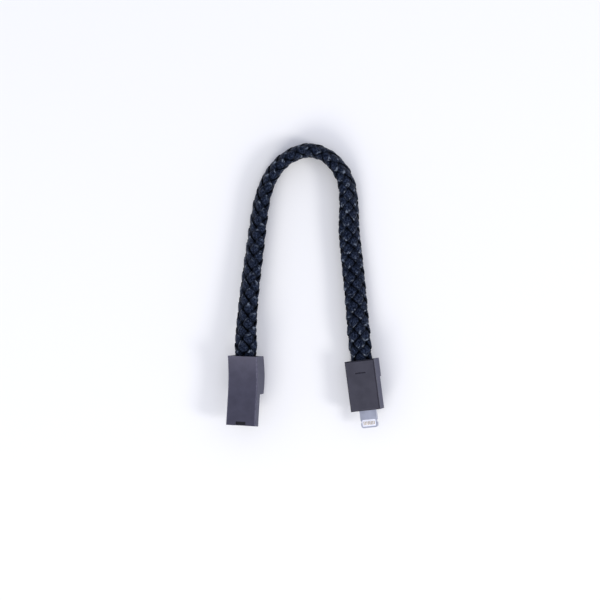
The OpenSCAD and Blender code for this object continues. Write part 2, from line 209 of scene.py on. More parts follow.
class Effects:
    """Builds each shared effect once, as a node group, and places it in materials."""

    def __init__(self) -> None:
        """Builds the groups."""
        self.groups = {
            Effect.GRAIN: self._grain(),
            Effect.WEAR: self._wear(),
            Effect.DUST: self._dust(),
            Effect.HIDE: self._hide(),
        }

    @staticmethod
    def _new(effect: Effect, inputs: dict[str, float],
             outputs: list[str]) -> tuple[bpy.types.NodeTree, Wiring, bpy.types.Node]:
        """Makes an empty group with its sockets.

        Args:
            effect: which effect it is.
            inputs: each input's name and first value.
            outputs: the outputs' names.

        Returns:
            The group, its wiring and its input node.
        """
        tree = bpy.data.node_groups.new(effect.value, "ShaderNodeTree")
        for name, value in inputs.items():
            socket = tree.interface.new_socket(name, in_out="INPUT",
                                               socket_type="NodeSocketFloat")
            socket.default_value = value
        for name in outputs:
            tree.interface.new_socket(name, in_out="OUTPUT", socket_type="NodeSocketFloat")
        wiring = Wiring(tree)
        return tree, wiring, wiring.add("NodeGroupInput")

    def _grain(self) -> bpy.types.NodeTree:
        """Fine grain of a cast or moulded skin: a height and a slow cloudy tone."""
        tree, w, start = self._new(Effect.GRAIN, {"Size": 0.0002, "Cloud Size": 0.003},
                                   ["Height", "Tone"])
        place = w.add("ShaderNodeTexCoord").outputs["Object"]
        fine = w.noise(place, w.math("DIVIDE", 1.0, start.outputs["Size"]), 3.0, 0.6)
        cloud = w.noise(place, w.math("DIVIDE", 1.0, start.outputs["Cloud Size"]), 4.0, 0.55)
        w.add("NodeGroupOutput", {"Height": fine, "Tone": w.ramp(cloud, 0.3, 0.7)})
        return tree

    def _wear(self) -> bpy.types.NodeTree:
        """Rubbed edges, from the curvature kept on the mesh, broken up by noise."""
        tree, w, start = self._new(Effect.WEAR, {"Amount": 0.5, "Patch Size": 0.0008}, ["Mask"])
        edge = w.add("ShaderNodeAttribute", attribute_name="wear").outputs["Fac"]
        place = w.add("ShaderNodeTexCoord").outputs["Object"]
        patch = w.noise(place, w.math("DIVIDE", 1.0, start.outputs["Patch Size"]), 5.0, 0.65)
        broken = w.ramp(patch, 0.32, 0.62)
        w.add("NodeGroupOutput", {"Mask": w.math(
            "MULTIPLY", w.math("MULTIPLY", edge, broken), start.outputs["Amount"])})
        return tree

    def _dust(self) -> bpy.types.NodeTree:
        """Sparse specks of dust that settle on what faces up."""
        tree, w, start = self._new(Effect.DUST, {"Amount": 0.1, "Speck Size": 0.0004}, ["Mask"])
        place = w.add("ShaderNodeTexCoord").outputs["Object"]
        specks = w.add("ShaderNodeTexVoronoi", {
            "Vector": place, "Scale": w.math("DIVIDE", 1.0, start.outputs["Speck Size"]),
            "Randomness": 1.0})
        spots = w.math("MULTIPLY", w.ramp(specks.outputs["Distance"], 0.16, 0.05),
                       w.ramp(w.noise(place, 260.0, 2.0), 0.5, 0.7))
        upward = w.add("ShaderNodeSeparateXYZ",
                       {0: w.add("ShaderNodeNewGeometry").outputs["Normal"]}).outputs[2]
        w.add("NodeGroupOutput", {"Mask": w.math(
            "MULTIPLY", w.math("MULTIPLY", spots, w.ramp(upward, 0.2, 0.9)),
            start.outputs["Amount"])})
        return tree

    def _hide(self) -> bpy.types.NodeTree:
        """Leather: pebbled cells and creases along the strand's own UV map, in mm, with the masks
        of the painted shade in the grooves and the painted glint at the scale tips; its tone is
        darker at the pebbles' edges, as painted shade in their creases.
        """
        tree, w, start = self._new(Effect.HIDE, {"Pebble Size": 0.35, "Crease": 0.4},
                                   ["Height", "Tone", "Painted Groove Shade", "Painted Glint And Wax"])
        place = w.add("ShaderNodeUVMap", uv_map="strand").outputs[0]
        per = w.math("DIVIDE", 1.0, start.outputs["Pebble Size"])
        cells = w.add("ShaderNodeTexVoronoi", {"Vector": place, "Scale": per, "Randomness": 0.9},
                      feature="DISTANCE_TO_EDGE", voronoi_dimensions="2D")
        pebble = w.ramp(cells.outputs[0], 0.0, 0.22)
        drawn = w.add("ShaderNodeMapping", {0: place, "Scale": (2.4, 0.5, 1.0)}).outputs[0]
        crease = w.math("MULTIPLY", w.ramp(w.noise(drawn, 1.5, 5.0, 0.6, 0.5), 0.35, 0.65),
                        start.outputs["Crease"])
        # Painted shade: this mask marks where the strands are painted dark in their grooves, at
        # their edges and where they dive under their neighbours.
        depth = w.add("ShaderNodeAttribute", attribute_name="painted_groove_shade").outputs["Fac"]
        # Painted glint: this mask, broken up by noise, marks where the scale tips are painted
        # pale; the wax coat lies on it too.
        tip_glint_and_wax = w.add("ShaderNodeAttribute", attribute_name="painted_glint_and_wax").outputs["Fac"]
        rub_and_glint = w.math("MULTIPLY", tip_glint_and_wax, w.ramp(w.noise(place, 1.1, 2.0), 0.5, 0.62))
        painted_glint_and_wax = w.math("MULTIPLY", rub_and_glint, w.math("SUBTRACT", 1.0, depth))
        # Random mottle, made darker towards the pebbles' cell edges as painted shade in the
        # creases of the grain.
        mottle_and_crease_shade = w.math("MULTIPLY", w.ramp(w.noise(place, 1.9, 4.0, 0.7), 0.4, 0.66),
                        w.math("ADD", w.math("MULTIPLY", pebble, 0.7), 0.3))
        w.add("NodeGroupOutput", {"Height": w.math("ADD", pebble, crease), "Tone": mottle_and_crease_shade,
                                  "Painted Groove Shade": depth, "Painted Glint And Wax": painted_glint_and_wax})
        return tree

    def place(self, wiring: Wiring, effect: Effect, **values: float) -> bpy.types.Node:
        """Places an effect in a material.

        Args:
            wiring: the material's wiring.
            effect: which effect.
            **values: its inputs, with underscores for the spaces in their names.

        Returns:
            The group node.
        """
        return wiring.add("ShaderNodeGroup",
                          {k.replace("_", " "): v for k, v in values.items()},
                          node_tree=self.groups[effect])


def opaque(colour: object) -> object:
    """Adds a full alpha to a plain colour, and leaves a colour output as it is.

    Args:
        colour: a colour or a colour output.

    Returns:
        What a colour input takes.
    """
    return colour if isinstance(colour, bpy.types.NodeSocket) else (*colour, 1.0)


def shaded(colour: Colour, share: float, lift: float = 0.0) -> Colour:
    """Gives a darker or paler shade of a colour.

    Args:
        colour: the colour.
        share: how much of it stays.
        lift: what is added to it.

    Returns:
        The shade.
    """
    return tuple(share * c + lift for c in colour)


def mixed(w: Wiring, factor: bpy.types.NodeSocket, first: object,
          second: object) -> bpy.types.NodeSocket:
    """Mixes two colours.

    Args:
        w: the material's wiring.
        factor: how much of the second.
        first: a colour or a colour output.
        second: a colour or a colour output.

    Returns:
        The mixed colour's output.
    """
    return w.add("ShaderNodeMix", {0: factor, 6: opaque(first), 7: opaque(second)},
                 data_type="RGBA").outputs[2]


DUST_GREY = (0.55, 0.55, 0.56)
GRAIN_DEPTH = 0.00002


@dataclass(frozen=True)
class Finish:
    """What a piece is made of or coated with."""

    name: str

    def build(self, effects: Effects) -> bpy.types.Material:
        """Makes the material.

        Args:
            effects: the shared effects.

        Returns:
            The material.
        """
        material = bpy.data.materials.new(self.name)
        material.use_nodes = True
        w = Wiring(material.node_tree)
        w.feed(material.node_tree.nodes["Principled BSDF"], self.sockets(effects, w))
        return material

    def sockets(self, effects: Effects, w: Wiring) -> dict:
        """Wires the finish.

        Args:
            effects: the shared effects.
            w: the material's wiring.

        Returns:
            What each of the shader's inputs takes.
        """
        raise NotImplementedError


@dataclass(frozen=True)
class MetalFinish(Finish):
    """A cast, drawn or plated metal with fine grain, cloudy tone and rubbed edges."""

    colour: Colour
    rub_and_glint: Colour
    roughness: float
    spread: float = 0.06
    grain: float = 0.00018
    relief: float = 0.3
    wear: float = 0.5
    dust: float = 0.12
    metallic: float = 1.0
    level: float = 0.5
    tint: Colour = (1.0, 1.0, 1.0)

    def sockets(self, effects: Effects, w: Wiring) -> dict:
        """Wires the finish, as Finish says."""
        skin = effects.place(w, Effect.GRAIN, Size=self.grain, Cloud_Size=0.004)
        rub = effects.place(w, Effect.WEAR, Amount=self.wear).outputs["Mask"]
        dust = effects.place(w, Effect.DUST, Amount=self.dust).outputs["Mask"]
        tone = mixed(w, skin.outputs["Tone"], shaded(self.colour, 0.82), self.colour)
        worn_and_glint = mixed(w, rub, tone, self.rub_and_glint)
        rough = w.around(skin.outputs["Tone"], self.roughness, self.spread)
        return {
            "Base Color": mixed(w, dust, worn_and_glint, DUST_GREY),
            "Roughness": w.math("SUBTRACT", rough, w.math("MULTIPLY", rub, 0.1)),
            "Normal": w.bump(skin.outputs["Height"], self.relief, GRAIN_DEPTH),
            "Metallic": self.metallic, "Specular IOR Level": self.level,
            "Specular Tint": opaque(self.tint)}


@dataclass(frozen=True)
class MouldedFinish(Finish):
    """A moulded plastic, rubber, resin or ceramic with a fine skin and cloudy tone."""

    colour: Colour
    roughness: float
    grain: float = 0.00015
    relief: float = 0.2
    clear: float = 0.0
    wear: float = 0.25
    level: float = 0.5

    def sockets(self, effects: Effects, w: Wiring) -> dict:
        """Wires the finish, as Finish says."""
        skin = effects.place(w, Effect.GRAIN, Size=self.grain, Cloud_Size=0.002)
        rub = effects.place(w, Effect.WEAR, Amount=self.wear).outputs["Mask"]
        tone = mixed(w, skin.outputs["Tone"], shaded(self.colour, 0.85), self.colour)
        return {
            "Base Color": mixed(w, rub, tone, shaded(self.colour, 0.85, 0.12)),
            "Roughness": w.around(skin.outputs["Tone"], self.roughness, 0.08),
            "Normal": w.bump(skin.outputs["Height"], self.relief, GRAIN_DEPTH),
            "Transmission Weight": self.clear, "Specular IOR Level": self.level}


@dataclass(frozen=True)
class BoardFinish(Finish):
    """Solder mask over copper tracks on a glass-fibre board."""

    mask: Colour
    track: Colour

    def sockets(self, effects: Effects, w: Wiring) -> dict:
        """Wires the finish, as Finish says."""
        skin = effects.place(w, Effect.GRAIN, Size=0.0001, Cloud_Size=0.002)
        place = w.add("ShaderNodeTexCoord").outputs["Object"]
        lanes = w.add("ShaderNodeTexBrick", {
            "Vector": place, "Scale": 900.0, "Mortar Size": 0.08, "Brick Width": 2.6,
            "Row Height": 0.7})
        track = w.ramp(lanes.outputs["Fac"], 0.2, 0.8)
        tone = mixed(w, skin.outputs["Tone"], shaded(self.mask, 0.8), self.mask)
        return {
            "Base Color": mixed(w, w.math("MULTIPLY", track, 0.6), tone, self.track),
            "Normal": w.bump(track, 0.3, 0.00003), "Roughness": 0.32}


@dataclass(frozen=True)
class LeatherFinish(Finish):
    """Dyed leather strand: pebbled and creased, painted near black as shade in the grooves and
    rougher there, with a painted glint and a wax coat at the scale tips.
    """

    colour: Colour
    raised: Colour
    painted_groove_shade: Colour
    roughness: float
    level: float
    tint: Colour
    depth: float
    worn_and_glint: Colour
    wax_roughness: float = 0.16

    def sockets(self, effects: Effects, w: Wiring) -> dict:
        """Wires the finish, as Finish says."""
        hide = effects.place(w, Effect.HIDE, Pebble_Size=0.5, Crease=0.6)
        # Mottled between the two colours, darker in the pebbles' creases as painted shade.
        tone = mixed(w, hide.outputs["Tone"], self.colour, self.raised)
        # Painted shade: the grooves are painted in the near-black groove colour.
        tone = mixed(w, hide.outputs["Painted Groove Shade"], tone, self.painted_groove_shade)
        rough = w.around(hide.outputs["Tone"], self.roughness, 0.12)
        relief = w.bump(hide.outputs["Height"], 0.8, self.depth)
        return {
            # Painted glint: the scale tips are painted pale in the last colour; the coat there is
            # the wax.
            "Base Color": mixed(w, hide.outputs["Painted Glint And Wax"], tone, self.worn_and_glint),
            "Roughness": w.math("ADD", rough, w.math("MULTIPLY", hide.outputs["Painted Groove Shade"], 0.25)),
            "Coat Weight": w.math("MULTIPLY", hide.outputs["Painted Glint And Wax"], 0.7),
            "Normal": relief, "Coat Roughness": self.wax_roughness,
            "Specular IOR Level": self.level, "Specular Tint": opaque(self.tint)}


@dataclass(frozen=True)
class PaperFinish(Finish):
    """The pale matt sheet that the object lies on."""

    colour: Colour

    def sockets(self, effects: Effects, w: Wiring) -> dict:
        """Wires the finish, as Finish says."""
        skin = effects.place(w, Effect.GRAIN, Size=0.0004, Cloud_Size=0.2)
        tone = mixed(w, skin.outputs["Tone"], shaded(self.colour, 0.995), self.colour)
        return {"Base Color": tone, "Roughness": 0.9, "Specular IOR Level": 0.1}


GUNMETAL = MetalFinish("gunmetal_satin", (0.068, 0.065, 0.097), (0.13, 0.126, 0.175), 0.48,
                       metallic=0.5, level=0.5, tint=(0.82, 0.86, 1.0))
# Painted shade: a darker copy of the gunmetal for the cover plate, which is the same metal.
COVER_METAL_SHADED = MetalFinish("cover_satin_shaded", (0.06, 0.058, 0.077), (0.12, 0.116, 0.16), 0.48,
                          metallic=0.5, level=0.5, tint=(0.88, 0.9, 1.0))
# Painted shade: near black for the cover's chamfer and groove floor, standing in for their shade
# and dark reflection.
CHAMFER_PAINTED_SHADE = MetalFinish("chamfer_painted_shade", (0.02, 0.019, 0.03), (0.05, 0.05, 0.07), 0.4,
                      metallic=0.5, level=0.3, dust=0.0)
DARK_CAP = MetalFinish("dark_cap_satin", (0.035, 0.035, 0.048), (0.08, 0.08, 0.1), 0.5,
                       metallic=0.5, level=0.3)
PLUG_STEEL = MetalFinish("plug_steel_brushed", (0.5, 0.52, 0.61), (0.6, 0.62, 0.69), 0.34,
                         grain=0.00008, wear=0.4, dust=0.0)
GOLD_PLATE = MetalFinish("gold_plate", (0.72, 0.6, 0.44), (0.8, 0.7, 0.54), 0.22,
                         grain=0.00006, wear=0.3, dust=0.0)
SOLDER_TIN = MetalFinish("solder_tin", (0.62, 0.63, 0.65), (0.75, 0.75, 0.76), 0.35, dust=0.0)
BLACK_MOULDING = MouldedFinish("black_moulding", (0.008, 0.008, 0.012), 0.45, level=0.25)
WHITE_MOULDING = MouldedFinish("white_moulding", (0.88, 0.9, 1.0), 0.35, wear=0.0, level=0.3)
CHIP_BLACK = MouldedFinish("chip_epoxy", (0.02, 0.02, 0.023), 0.6, grain=0.00005, relief=0.4)
CAPACITOR_TAN = MouldedFinish("capacitor_ceramic", (0.42, 0.27, 0.15), 0.55)
CLEAR_GLUE = MouldedFinish("potting_glue", (0.55, 0.5, 0.38), 0.3, grain=0.0006, clear=0.25)
CABLE_JACKET = MouldedFinish("cable_jacket", (0.02, 0.02, 0.022), 0.55, relief=0.3)
WIRES = {name: MouldedFinish(f"wire_{name}", colour, 0.4) for name, colour in (
    ("red", (0.45, 0.02, 0.025)), ("white", (0.78, 0.78, 0.76)),
    ("green", (0.02, 0.25, 0.07)), ("black", (0.015, 0.015, 0.015)))}
BOARD_GREEN = BoardFinish("board_green", (0.01, 0.11, 0.045), (0.16, 0.4, 0.14))
# The third colour is painted shade for the grooves, the last a painted glint for the scale tips.
BLACK_LEATHER = LeatherFinish("braid_leather", (0.0, 0.001, 0.006), (0.042, 0.057, 0.1),
                              (0.0, 0.0001, 0.0004), 0.42, 0.08, (0.5, 0.66, 1.0), 0.00007,
                              (0.2, 0.24, 0.31))
FLOOR_PAPER = PaperFinish("studio_paper", (0.9, 0.9, 0.905))


# ---- Tools on the bench ----

# A surface that turns this fast, in radians per mm, starts to count as a rubbed edge,
# and counts in full where it turns faster by the span.
RUBBED_FROM = 0.5
RUBBED_SPAN = 1.2
# An edge counts only where it is longer than this share of its faces' width.
LONG_ENOUGH = 0.6
LEAST_WIDTH = 1e-7
MERGE_WITHIN = 2e-6
FLAT_WITHIN = math.radians(0.4)
BREAK_ABOVE = math.radians(35)
SMOOTH_BELOW = math.radians(30)


def clamped(value: float) -> float:
    """Keeps a value between 0 and 1.

    Args:
        value: the value.

    Returns:
        The kept value.
    """
    return min(max(value, 0.0), 1.0)


def eased(value: float) -> float:
    """Turns an even rise from 0 to 1 into one with soft ends.

    Args:
        value: the even rise, beyond 0 to 1 too.

    Returns:
        The soft rise.
    """
    share = clamped(value)
    return share * share * (3.0 - 2.0 * share)


def clear_selection() -> None:
    """Leaves nothing selected."""
    bpy.ops.object.select_all(action="DESELECT")


def pick(obj: bpy.types.Object) -> None:
    """Selects one object alone and makes it the active one.

    Args:
        obj: the object.
    """
    clear_selection()
    obj.select_set(True)
    bpy.context.view_layer.objects.active = obj


def keep_curvature(obj: bpy.types.Object) -> None:
    """Writes how sharply each face's surface turns into the attribute "wear".

    A face counts as an edge where it turns within a fraction of a millimetre, so
    bevels and small radii reach 1 and the broad faces stay at 0.

    Args:
        obj: a finished mesh.
    """
    bm = bmesh.new()
    bm.from_mesh(obj.data)
    bm.faces.ensure_lookup_table()
    across = [f.calc_area() / max(e.calc_length() for e in f.edges) for f in bm.faces]
    turn = [0.0] * len(bm.faces)
    for edge in bm.edges:
        if len(edge.link_faces) == 2:
            a, b = (f.index for f in edge.link_faces)
            narrow = max(min(across[a], across[b]), LEAST_WIDTH)
            if edge.calc_length() > LONG_ENOUGH * narrow:
                apart = max((across[a] + across[b]) / 2, LEAST_WIDTH)
                bend = abs(edge.calc_face_angle(0.0)) / apart
                turn[a] = max(turn[a], bend)
                turn[b] = max(turn[b], bend)
    wear = obj.data.attributes.new("wear", "FLOAT", "CORNER")
    for poly in obj.data.polygons:
        value = clamped((turn[poly.index] * MM - RUBBED_FROM) / RUBBED_SPAN)
        for corner in poly.loop_indices:
            wear.data[corner].value = value
    bm.free()


@dataclass
class Workshop:
    """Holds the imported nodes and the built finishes, and counts what is done."""

    nodes: dict[str, bpy.types.Object]
    effects: Effects
    finishes: dict[str, bpy.types.Material] = field(default_factory=dict)
    done: list[str] = field(default_factory=list)

    def finish(self, kind: Finish) -> bpy.types.Material:
        """Gives the material of a finish, built on its first use.

        Args:
            kind: one of the finishes above.

        Returns:
            The material.
        """
        if kind.name not in self.finishes:
            self.finishes[kind.name] = kind.build(self.effects)
        return self.finishes[kind.name]

    def paint(self, obj: bpy.types.Object, kind: Finish) -> None:
        """Gives a whole piece one finish.

        Args:
            obj: the piece.
            kind: its finish.
        """
        obj.data.materials.clear()
        obj.data.materials.append(self.finish(kind))

    def dress_node(self, name: str, kind: Finish) -> None:
        """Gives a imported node, kept as it is, a finish.

        Args:
            name: the node.
            kind: its finish.
        """
        self.paint(self.nodes[name], kind)
        self.done.append(name)

    def refine(self, node: str, name: str, kind: Finish, slot: str,
               edge: float) -> bpy.types.Object:
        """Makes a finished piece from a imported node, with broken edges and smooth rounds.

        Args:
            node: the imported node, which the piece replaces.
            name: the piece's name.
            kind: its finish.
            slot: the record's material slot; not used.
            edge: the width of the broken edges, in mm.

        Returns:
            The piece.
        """
        pick(self.nodes[node])
        bpy.ops.object.duplicate()
        piece = bpy.context.active_object
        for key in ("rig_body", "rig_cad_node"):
            if key in piece:
                del piece[key]
        piece.parent = None
        piece.name = name
        piece.data.name = name
        bpy.ops.object.mode_set(mode="EDIT")
        bpy.ops.mesh.select_all(action="SELECT")
        bpy.ops.mesh.remove_doubles(threshold=MERGE_WITHIN)
        bpy.ops.mesh.dissolve_limited(angle_limit=FLAT_WITHIN)
        bpy.ops.object.mode_set(mode="OBJECT")
        bevel = piece.modifiers.new("broken_edges", "BEVEL")
        bevel.width = edge * MM
        bevel.segments = 2
        bevel.limit_method = "ANGLE"
        bevel.angle_limit = BREAK_ABOVE
        bevel.use_clamp_overlap = True
        bevel.miter_outer = "MITER_ARC"
        bpy.ops.object.modifier_apply(modifier=bevel.name)
        bpy.ops.object.shade_smooth_by_angle(angle=SMOOTH_BELOW)
        even = piece.modifiers.new("even_shading", "WEIGHTED_NORMAL")
        even.weight = 100
        even.keep_sharp = True
        bpy.ops.object.modifier_apply(modifier=even.name)
        keep_curvature(piece)
        self.paint(piece, kind)
        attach(piece, "root")
        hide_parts(node)
        self.done.append(name)
        return piece


# ---- Studio ----


@dataclass(frozen=True)
class SoftBox:
    """One round soft light: where it shines from, its width, power and colour."""

    name: str
    come_from: tuple[float, float, float]
    size: float
    power: float
    colour: Colour
    distance: float = 1.6

    def hang(self, middle: Vector) -> None:
        """Hangs the light, facing the object.

        Args:
            middle: the point that it faces.
        """
        clear_selection()
        place = middle + Vector(self.come_from).normalized() * self.distance
        bpy.ops.object.light_add(type="AREA", location=place)
        lamp = bpy.context.active_object
        lamp.name = self.name
        lamp.data.shape = "DISK"
        lamp.data.size = self.size
        lamp.data.energy = self.power
        lamp.data.color = self.colour
        lamp.rotation_euler = (place - middle).to_track_quat("Z", "Y").to_euler()


@dataclass
class Studio:
    """A pale sheet under soft light, seen from straight above."""

    eye: Vector = field(default_factory=lambda: Vector((-0.0022, 0.036, 0.540)))
    lens: float = 81.86
    middle: Vector = field(default_factory=lambda: Vector((0.0, 0.035, 0.0)))
    zenith: Colour = (0.655, 0.675, 0.775)
    horizon: Colour = (0.8, 0.83, 0.94)
    boxes: tuple[SoftBox, ...] = (
        SoftBox("main_softbox", (-0.42, -0.95, 0.78), 0.75, 10.0, (1.0, 0.97, 0.88)),
        SoftBox("side_softbox", (0.9, -0.35, 0.7), 0.5, 8.0, (1.0, 0.98, 0.95)),
    )

    def set_camera(self) -> None:
        """Stands the camera above the object, looking straight down."""
        clear_selection()
        bpy.ops.object.camera_add(location=self.eye, rotation=(0.0, 0.0, 0.0))
        camera = bpy.context.active_object
        camera.name = "eye_above"
        camera.data.lens = self.lens
        camera.data.sensor_width = 36.0
        camera.data.clip_start = 0.01
        bpy.context.scene.camera = camera

    def lay_floor(self, shop: Workshop) -> None:
        """Lays the pale sheet.

        Args:
            shop: gives the sheet its finish.
        """
        clear_selection()
        bpy.ops.mesh.primitive_plane_add(size=3.0, location=(0.0, 0.0, 0.0))
        sheet = bpy.context.active_object
        sheet.name = "studio_sheet"
        shop.paint(sheet, FLOOR_PAPER)

    def light(self) -> None:
        """Hangs the soft boxes and sets the sky, pale low down and dimmer overhead."""
        for box in self.boxes:
            box.hang(self.middle)
        world = bpy.data.worlds.new("even_light")
        world.use_nodes = True
        w = Wiring(world.node_tree)
        height = w.add("ShaderNodeSeparateXYZ",
                       {0: w.add("ShaderNodeTexCoord").outputs["Generated"]}).outputs[2]
        tone = mixed(w, w.ramp(height, 0.0, 1.0), self.horizon, self.zenith)
        w.tree.links.new(tone, world.node_tree.nodes["Background"].inputs["Color"])
        bpy.context.scene.world = world
        bpy.context.scene.view_settings.view_transform = "Standard"


# ---- Braided band ----


def spline(a: Vector, b: Vector, c: Vector, d: Vector, t: float) -> Vector:
    """Gives a point of a smooth curve that passes through b and c.

    Args:
        a: the point before.
        b: the stretch's start.
        c: the stretch's end.
        d: the point after.
        t: how far along the stretch, 0 to 1.

    Returns:
        The point.
    """
    return 0.5 * (2 * b + (c - a) * t + (2 * a - 5 * b + 4 * c - d) * t * t
                  + (3 * b - 3 * c + d - a) * t ** 3)


def turned(point: Vector, angles: tuple[float, float, float]) -> Vector:
    """Turns a point about X, then Y, then Z.

    Args:
        point: the point.
        angles: the three angles, in degrees.

    Returns:
        The turned point.
    """
    ax, ay, az = (math.radians(a) for a in angles)
    x, y, z = point
    y, z = y * math.cos(ax) - z * math.sin(ax), y * math.sin(ax) + z * math.cos(ax)
    x, z = x * math.cos(ay) + z * math.sin(ay), -x * math.sin(ay) + z * math.cos(ay)
    x, y = x * math.cos(az) - y * math.sin(az), x * math.sin(az) + y * math.cos(az)
    return Vector((x, y, z))


def located(marks: list[float], value: float) -> tuple[int, float]:
    """Finds where a value lies in a rising list.

    Args:
        marks: the rising list.
        value: a value within it.

    Returns:
        The place of the mark before the value, and the share of the way to the next.
    """
    low = min(bisect_right(marks, value) - 1, len(marks) - 2)
    return low, (value - marks[low]) / (marks[low + 1] - marks[low])


def skin_tube(bm: bmesh.types.BMesh, uv: object, rings: list, tile: tuple[float, float],
              start: float = 0.0) -> None:
    """Faces a tube over its rings of vertices, closed at both ends.

    Args:
        bm: the mesh that holds the rings.
        uv: its UV layer.
        rings: the rings, all with as many vertices.
        tile: one face's length and width on the UV map.
        start: where the UV map starts along the tube.
    """
    sides = len(rings[0])
    for i, (ring, after) in enumerate(zip(rings, rings[1:])):
        for k in range(sides):
            j = (k + 1) % sides
            face = bm.faces.new((ring[k], ring[j], after[j], after[k]))
            face.smooth = True
            for loop, (row, col) in zip(face.loops, ((i, k), (i, k + 1),
                                                     (i + 1, k + 1), (i + 1, k))):
                loop[uv].uv = (row * tile[0] + start, col * tile[1])
    bm.faces.new(list(reversed(rings[0])))
    bm.faces.new(rings[-1])


def placed(bm: bmesh.types.BMesh, name: str) -> bpy.types.Object:
    """Turns a finished mesh into an object of the scene.

    Args:
        bm: the mesh, which is used up.
        name: the object's name.

    Returns:
        The object.
    """
    bmesh.ops.recalc_face_normals(bm, faces=bm.faces)
    mesh = bpy.data.meshes.new(name)
    bm.to_mesh(mesh)
    bm.free()
    obj = bpy.data.objects.new(name, mesh)
    bpy.context.scene.collection.objects.link(obj)
    return obj


@dataclass
class Mouth:
    """Where the band leaves a housing: the housing's place and turn, in mm and degrees."""

    at: Vector
    turn: tuple[float, float, float]
    axis: float

    def stub(self, y: float) -> tuple[Vector, Vector]:
        """Gives a point of the band's middle line on the housing's own axis.

        Args:
            y: the distance out of the mouth.

        Returns:
            The point and the flat's normal there.
        """
        return (self.at + turned(Vector((0.0, y, -self.axis)), self.turn),
                turned(Vector((0.0, 0.0, 1.0)), self.turn))


CURVED_MOUTH = Mouth(Vector((-24.6, 14.2, 12.442)), (0.7, -16.0, -1.7), 4.425)
TAB_MOUTH = Mouth(Vector((20.6, 12.5, 9.464)), (-1.9, -19.5, 8.0), 4.125)
# The free stretch, in mm, each point with the tilt of its outer flat from upright.
ROUTE = ((-23.2, 25, 7, 33), (-21.9, 40, 5.9, 43), (-20, 55, 5.1, 49), (-18, 70, 4.6, 57),
         (-16.3, 78, 4.4, 66), (-13, 85.6, 4.3, 73), (-7.3, 91.7, 4.3, 81),
         (0.5, 94.7, 4.3, 90), (7.6, 93, 4.3, 77), (13, 88, 4.3, 62), (16, 81.8, 4.3, 53),
         (17, 73.5, 4.3, 42), (17.1, 63, 4.3, 28), (18.2, 52, 4.4, 21), (19.5, 39, 4.7, 18),
         (20.5, 27, 5.2, 12))


@dataclass
class BandRoute:
    """The band's middle line with its flat's normals, from housing to housing, in mm."""

    inside: float = 3.0
    beyond: float = 6.3
    outside: float = 4.0
    per_stretch: int = 24
    points: list[Vector] = field(default_factory=list)
    normals: list[Vector] = field(default_factory=list)
    along: list[float] = field(default_factory=list)

    def __post_init__(self) -> None:
        """Works out the dense line and its lengths."""
        knots = [CURVED_MOUTH.stub(y) for y in (-self.beyond, -self.inside, 0.0, self.outside)]
        for i, (x, y, z, tilt) in enumerate(ROUTE):
            before, after = ROUTE[max(i - 1, 0)], ROUTE[min(i + 1, len(ROUTE) - 1)]
            t = Vector((after[0] - before[0], after[1] - before[1])).normalized()
            lean = math.radians(tilt)
            knots.append((Vector((x, y, z)),
                          Vector((-math.sin(lean) * t.y, math.sin(lean) * t.x, math.cos(lean)))))
        knots += [TAB_MOUTH.stub(y) for y in (self.outside, 0.0, -self.inside, -self.beyond)]
        last = len(knots) - 1
        for i in range(1, last - 1):
            around = [knots[min(max(i + k, 0), last)] for k in (-1, 0, 1, 2)]
            for j in range(self.per_stretch):
                t = j / self.per_stretch
                self.points.append(spline(*(k[0] for k in around), t))
                self.normals.append(spline(*(k[1] for k in around), t))
        self.points.append(knots[last - 1][0])
        self.normals.append(knots[last - 1][1])
        self.along = [0.0]
        for a, b in zip(self.points, self.points[1:]):
            self.along.append(self.along[-1] + (b - a).length)

    @property
    def length(self) -> float:
        """The band's whole length, in mm."""
        return self.along[-1]

    def frame(self, s: float) -> tuple[Vector, Vector, Vector]:
        """Gives the middle point and the section's two axes at a length.

        Args:
            s: the length from the first end, in mm.

        Returns:
            The point, the axis across the flat, and the flat's normal.
        """
        s = min(max(s, 0.0), self.length)
        low, part = located(self.along, s)
        high = low + 1
        point = self.points[low].lerp(self.points[high], part)
        normal = self.normals[low].lerp(self.normals[high], part)
        a = self.points[max(low - 1, 0)]
        b = self.points[min(high + 1, len(self.points) - 1)]
        tangent = (b - a).normalized()
        wide = tangent.cross(normal).normalized()
        return point, wide, wide.cross(tangent)


@dataclass(frozen=True)
class ScaleTone:
    """Where a strand's scale gets painted shade in its grooves and a painted glint at its tip,
    with the lengths in mm.
    """

    under_dark: float = 1.1
    edge_dark: float = 0.95
    edge_power: int = 7
    start_dark: float = 0.8
    start_at: float = 1.1
    start_span: float = 1.4
    glint_at: float = 0.9
    glint_span: float = 0.9

    def painted_groove_shade(self, reach: float, edge: float, under: float) -> float:
        """Gives how far a point lies in a groove's painted shade.

        Args:
            reach: its distance from the scale's middle towards the tip.
            edge: its distance from the strand's middle line, 1 at the edge.
            under: how far the strand has dived under its neighbours, 0 to 1.

        Returns:
            The share of the painted groove shade, 0 to 1.
        """
        start = clamped((-reach - self.start_at) / self.start_span)
        return clamped(self.under_dark * under + self.edge_dark * edge ** self.edge_power
                       + self.start_dark * start)

    def painted_glint_and_wax(self, reach: float) -> float:
        """Gives how far a point lies in the painted glint and wax coat at the tip of a scale.

        Args:
            reach: its distance from the scale's middle towards the tip.

        Returns:
            The share of the tip's painted glint and wax, 0 to 1.
        """
        return clamped((reach - self.glint_at) / self.glint_span)


